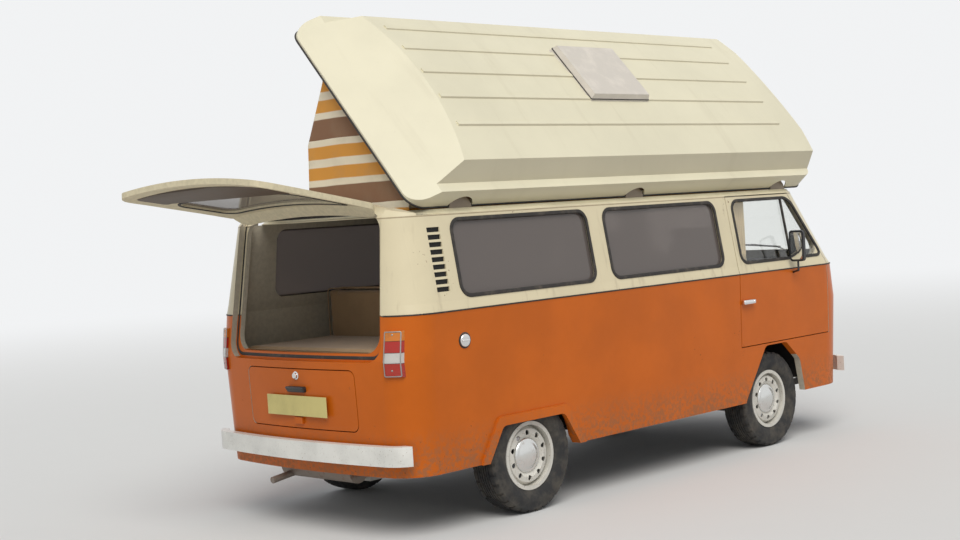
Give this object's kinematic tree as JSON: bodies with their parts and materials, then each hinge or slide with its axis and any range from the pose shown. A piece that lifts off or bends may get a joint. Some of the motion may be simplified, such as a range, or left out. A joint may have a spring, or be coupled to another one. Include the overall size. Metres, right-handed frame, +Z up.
{
  "type": "camper van",
  "caption": "Bay-window camper van with a side-hinged elevating roof raised over striped canvas, tailgate open, orange and cream body.",
  "frame": {"origin": "on the ground under the middle of the overall box, with the roof raised and the tailgate open", "axes": "+X towards the front of the van, +Y towards its left side, +Z up"},
  "size_m": [5.0938, 1.964, 2.8695],
  "materials": {
    "body_paint": "satin",
    "cream_paint": "satin",
    "underbody": "matte",
    "bumper_paint": "gloss",
    "wheel_paint": "satin",
    "roof_laminate": "satin",
    "roof_light": "frosted",
    "hinge_metal": "dull",
    "window_glass": "clear, slightly tinted",
    "lamp_glass": "fluted",
    "signal_lens": "ribbed",
    "black_plastic": "grained",
    "chrome": "polished",
    "tyre_rubber": "matte",
    "engine_metal": "cast",
    "axle_metal": "dull",
    "exhaust_metal": "rusted",
    "striped_canvas": "woven",
    "curtain_cloth": "woven",
    "seat_cloth": "woven",
    "furniture_board": "laminated"
  },
  "bodies": {
    "body_shell": {"floor_pan": "underbody", "chassis_frame": "underbody", "side_panel_right": "body_paint", "side_panel_left": "body_paint", "sliding_door": "body_paint", "front_panel": "body_paint", "rear_panel": "body_paint", "roof_surround": "cream_paint", "fixed_windows": "window_glass", "air_grille": "black_plastic", "signal_lamps": "signal_lens", "headlamps": "lamp_glass", "bumpers": "bumper_paint", "filler_cap": "chrome", "roof_hinges": "hinge_metal", "roof_fabric": "striped_canvas", "suspension": "axle_metal", "engine_block": "engine_metal", "exhaust": "exhaust_metal", "cab_controls": "black_plastic", "cab_seat_frames": "black_plastic", "seat_cushions": "seat_cloth", "living_furniture": "furniture_board", "cab_curtains": "curtain_cloth"},
    "cab_door_right": {"cab_door_right": "body_paint", "door_glass_right": "window_glass", "mirror_right": "black_plastic"},
    "cab_door_left": {"cab_door_left": "body_paint", "door_glass_left": "window_glass", "mirror_left": "black_plastic"},
    "tailgate": {"tailgate": "cream_paint", "tailgate_glass": "window_glass"},
    "engine_lid": {"engine_lid": "body_paint"},
    "raised_roof": {"roof_shell": "roof_laminate", "roof_vent": "roof_light"},
    "knuckle_right": {"knuckle_right": "axle_metal"},
    "knuckle_left": {"knuckle_left": "axle_metal"},
    "wheel_front_left": {"tyre_front_left": "tyre_rubber", "rim_front_left": "wheel_paint"},
    "wheel_front_right": {"tyre_front_right": "tyre_rubber", "rim_front_right": "wheel_paint"},
    "wheel_rear_left": {"tyre_rear_left": "tyre_rubber", "rim_rear_left": "wheel_paint"},
    "wheel_rear_right": {"tyre_rear_right": "tyre_rubber", "rim_rear_right": "wheel_paint"}
  },
  "joints": [
    {"name": "steer_right", "type": "hinge", "parent": "body_shell", "child": "knuckle_right", "pos_m": [1.48499, -0.6, 0.318], "axis": [0, 0, 1], "range_deg": [-30, 30]},
    {"name": "steer_left", "type": "hinge", "parent": "body_shell", "child": "knuckle_left", "pos_m": [1.48499, 0.6, 0.318], "axis": [0, 0, 1], "range_deg": [-30, 30]},
    {"name": "spin_front_right", "type": "hinge", "parent": "knuckle_right", "child": "wheel_front_right", "pos_m": [1.48499, -0.6975, 0.318], "axis": [0, 1, 0], "continuous": true},
    {"name": "spin_front_left", "type": "hinge", "parent": "knuckle_left", "child": "wheel_front_left", "pos_m": [1.48499, 0.6975, 0.318], "axis": [0, 1, 0], "continuous": true},
    {"name": "spin_rear_right", "type": "hinge", "parent": "body_shell", "child": "wheel_rear_right", "pos_m": [-0.91501, -0.7275, 0.318], "axis": [0, 1, 0], "continuous": true},
    {"name": "spin_rear_left", "type": "hinge", "parent": "body_shell", "child": "wheel_rear_left", "pos_m": [-0.91501, 0.7275, 0.318], "axis": [0, 1, 0], "continuous": true},
    {"name": "open_cab_door_right", "type": "hinge", "parent": "body_shell", "child": "cab_door_right", "pos_m": [2.15199, -0.862, 1.15], "axis": [0, 0, 1], "range_deg": [0, 70]},
    {"name": "open_cab_door_left", "type": "hinge", "parent": "body_shell", "child": "cab_door_left", "pos_m": [2.15199, 0.862, 1.15], "axis": [0, 0, -1], "range_deg": [0, 70]},
    {"name": "open_tailgate", "type": "hinge", "parent": "body_shell", "child": "tailgate", "pos_m": [-1.74205, 0, 1.758], "axis": [0, 1, 0], "range_deg": [-92.5, 0]},
    {"name": "open_engine_lid", "type": "hinge", "parent": "body_shell", "child": "engine_lid", "pos_m": [-1.90101, 0, 0.902], "axis": [0, 1, 0], "range_deg": [0, 75]},
    {"name": "raise_roof", "type": "hinge", "parent": "body_shell", "child": "raised_roof", "pos_m": [0.28499, -0.7, 1.731], "axis": [1, 0, 0], "range_deg": [-49, 0], "deforming": ["roof_fabric"]}
  ],
  "couplings": [
    {"joint": "steer_left", "follows": "steer_right", "ratio": 1}
  ]
}
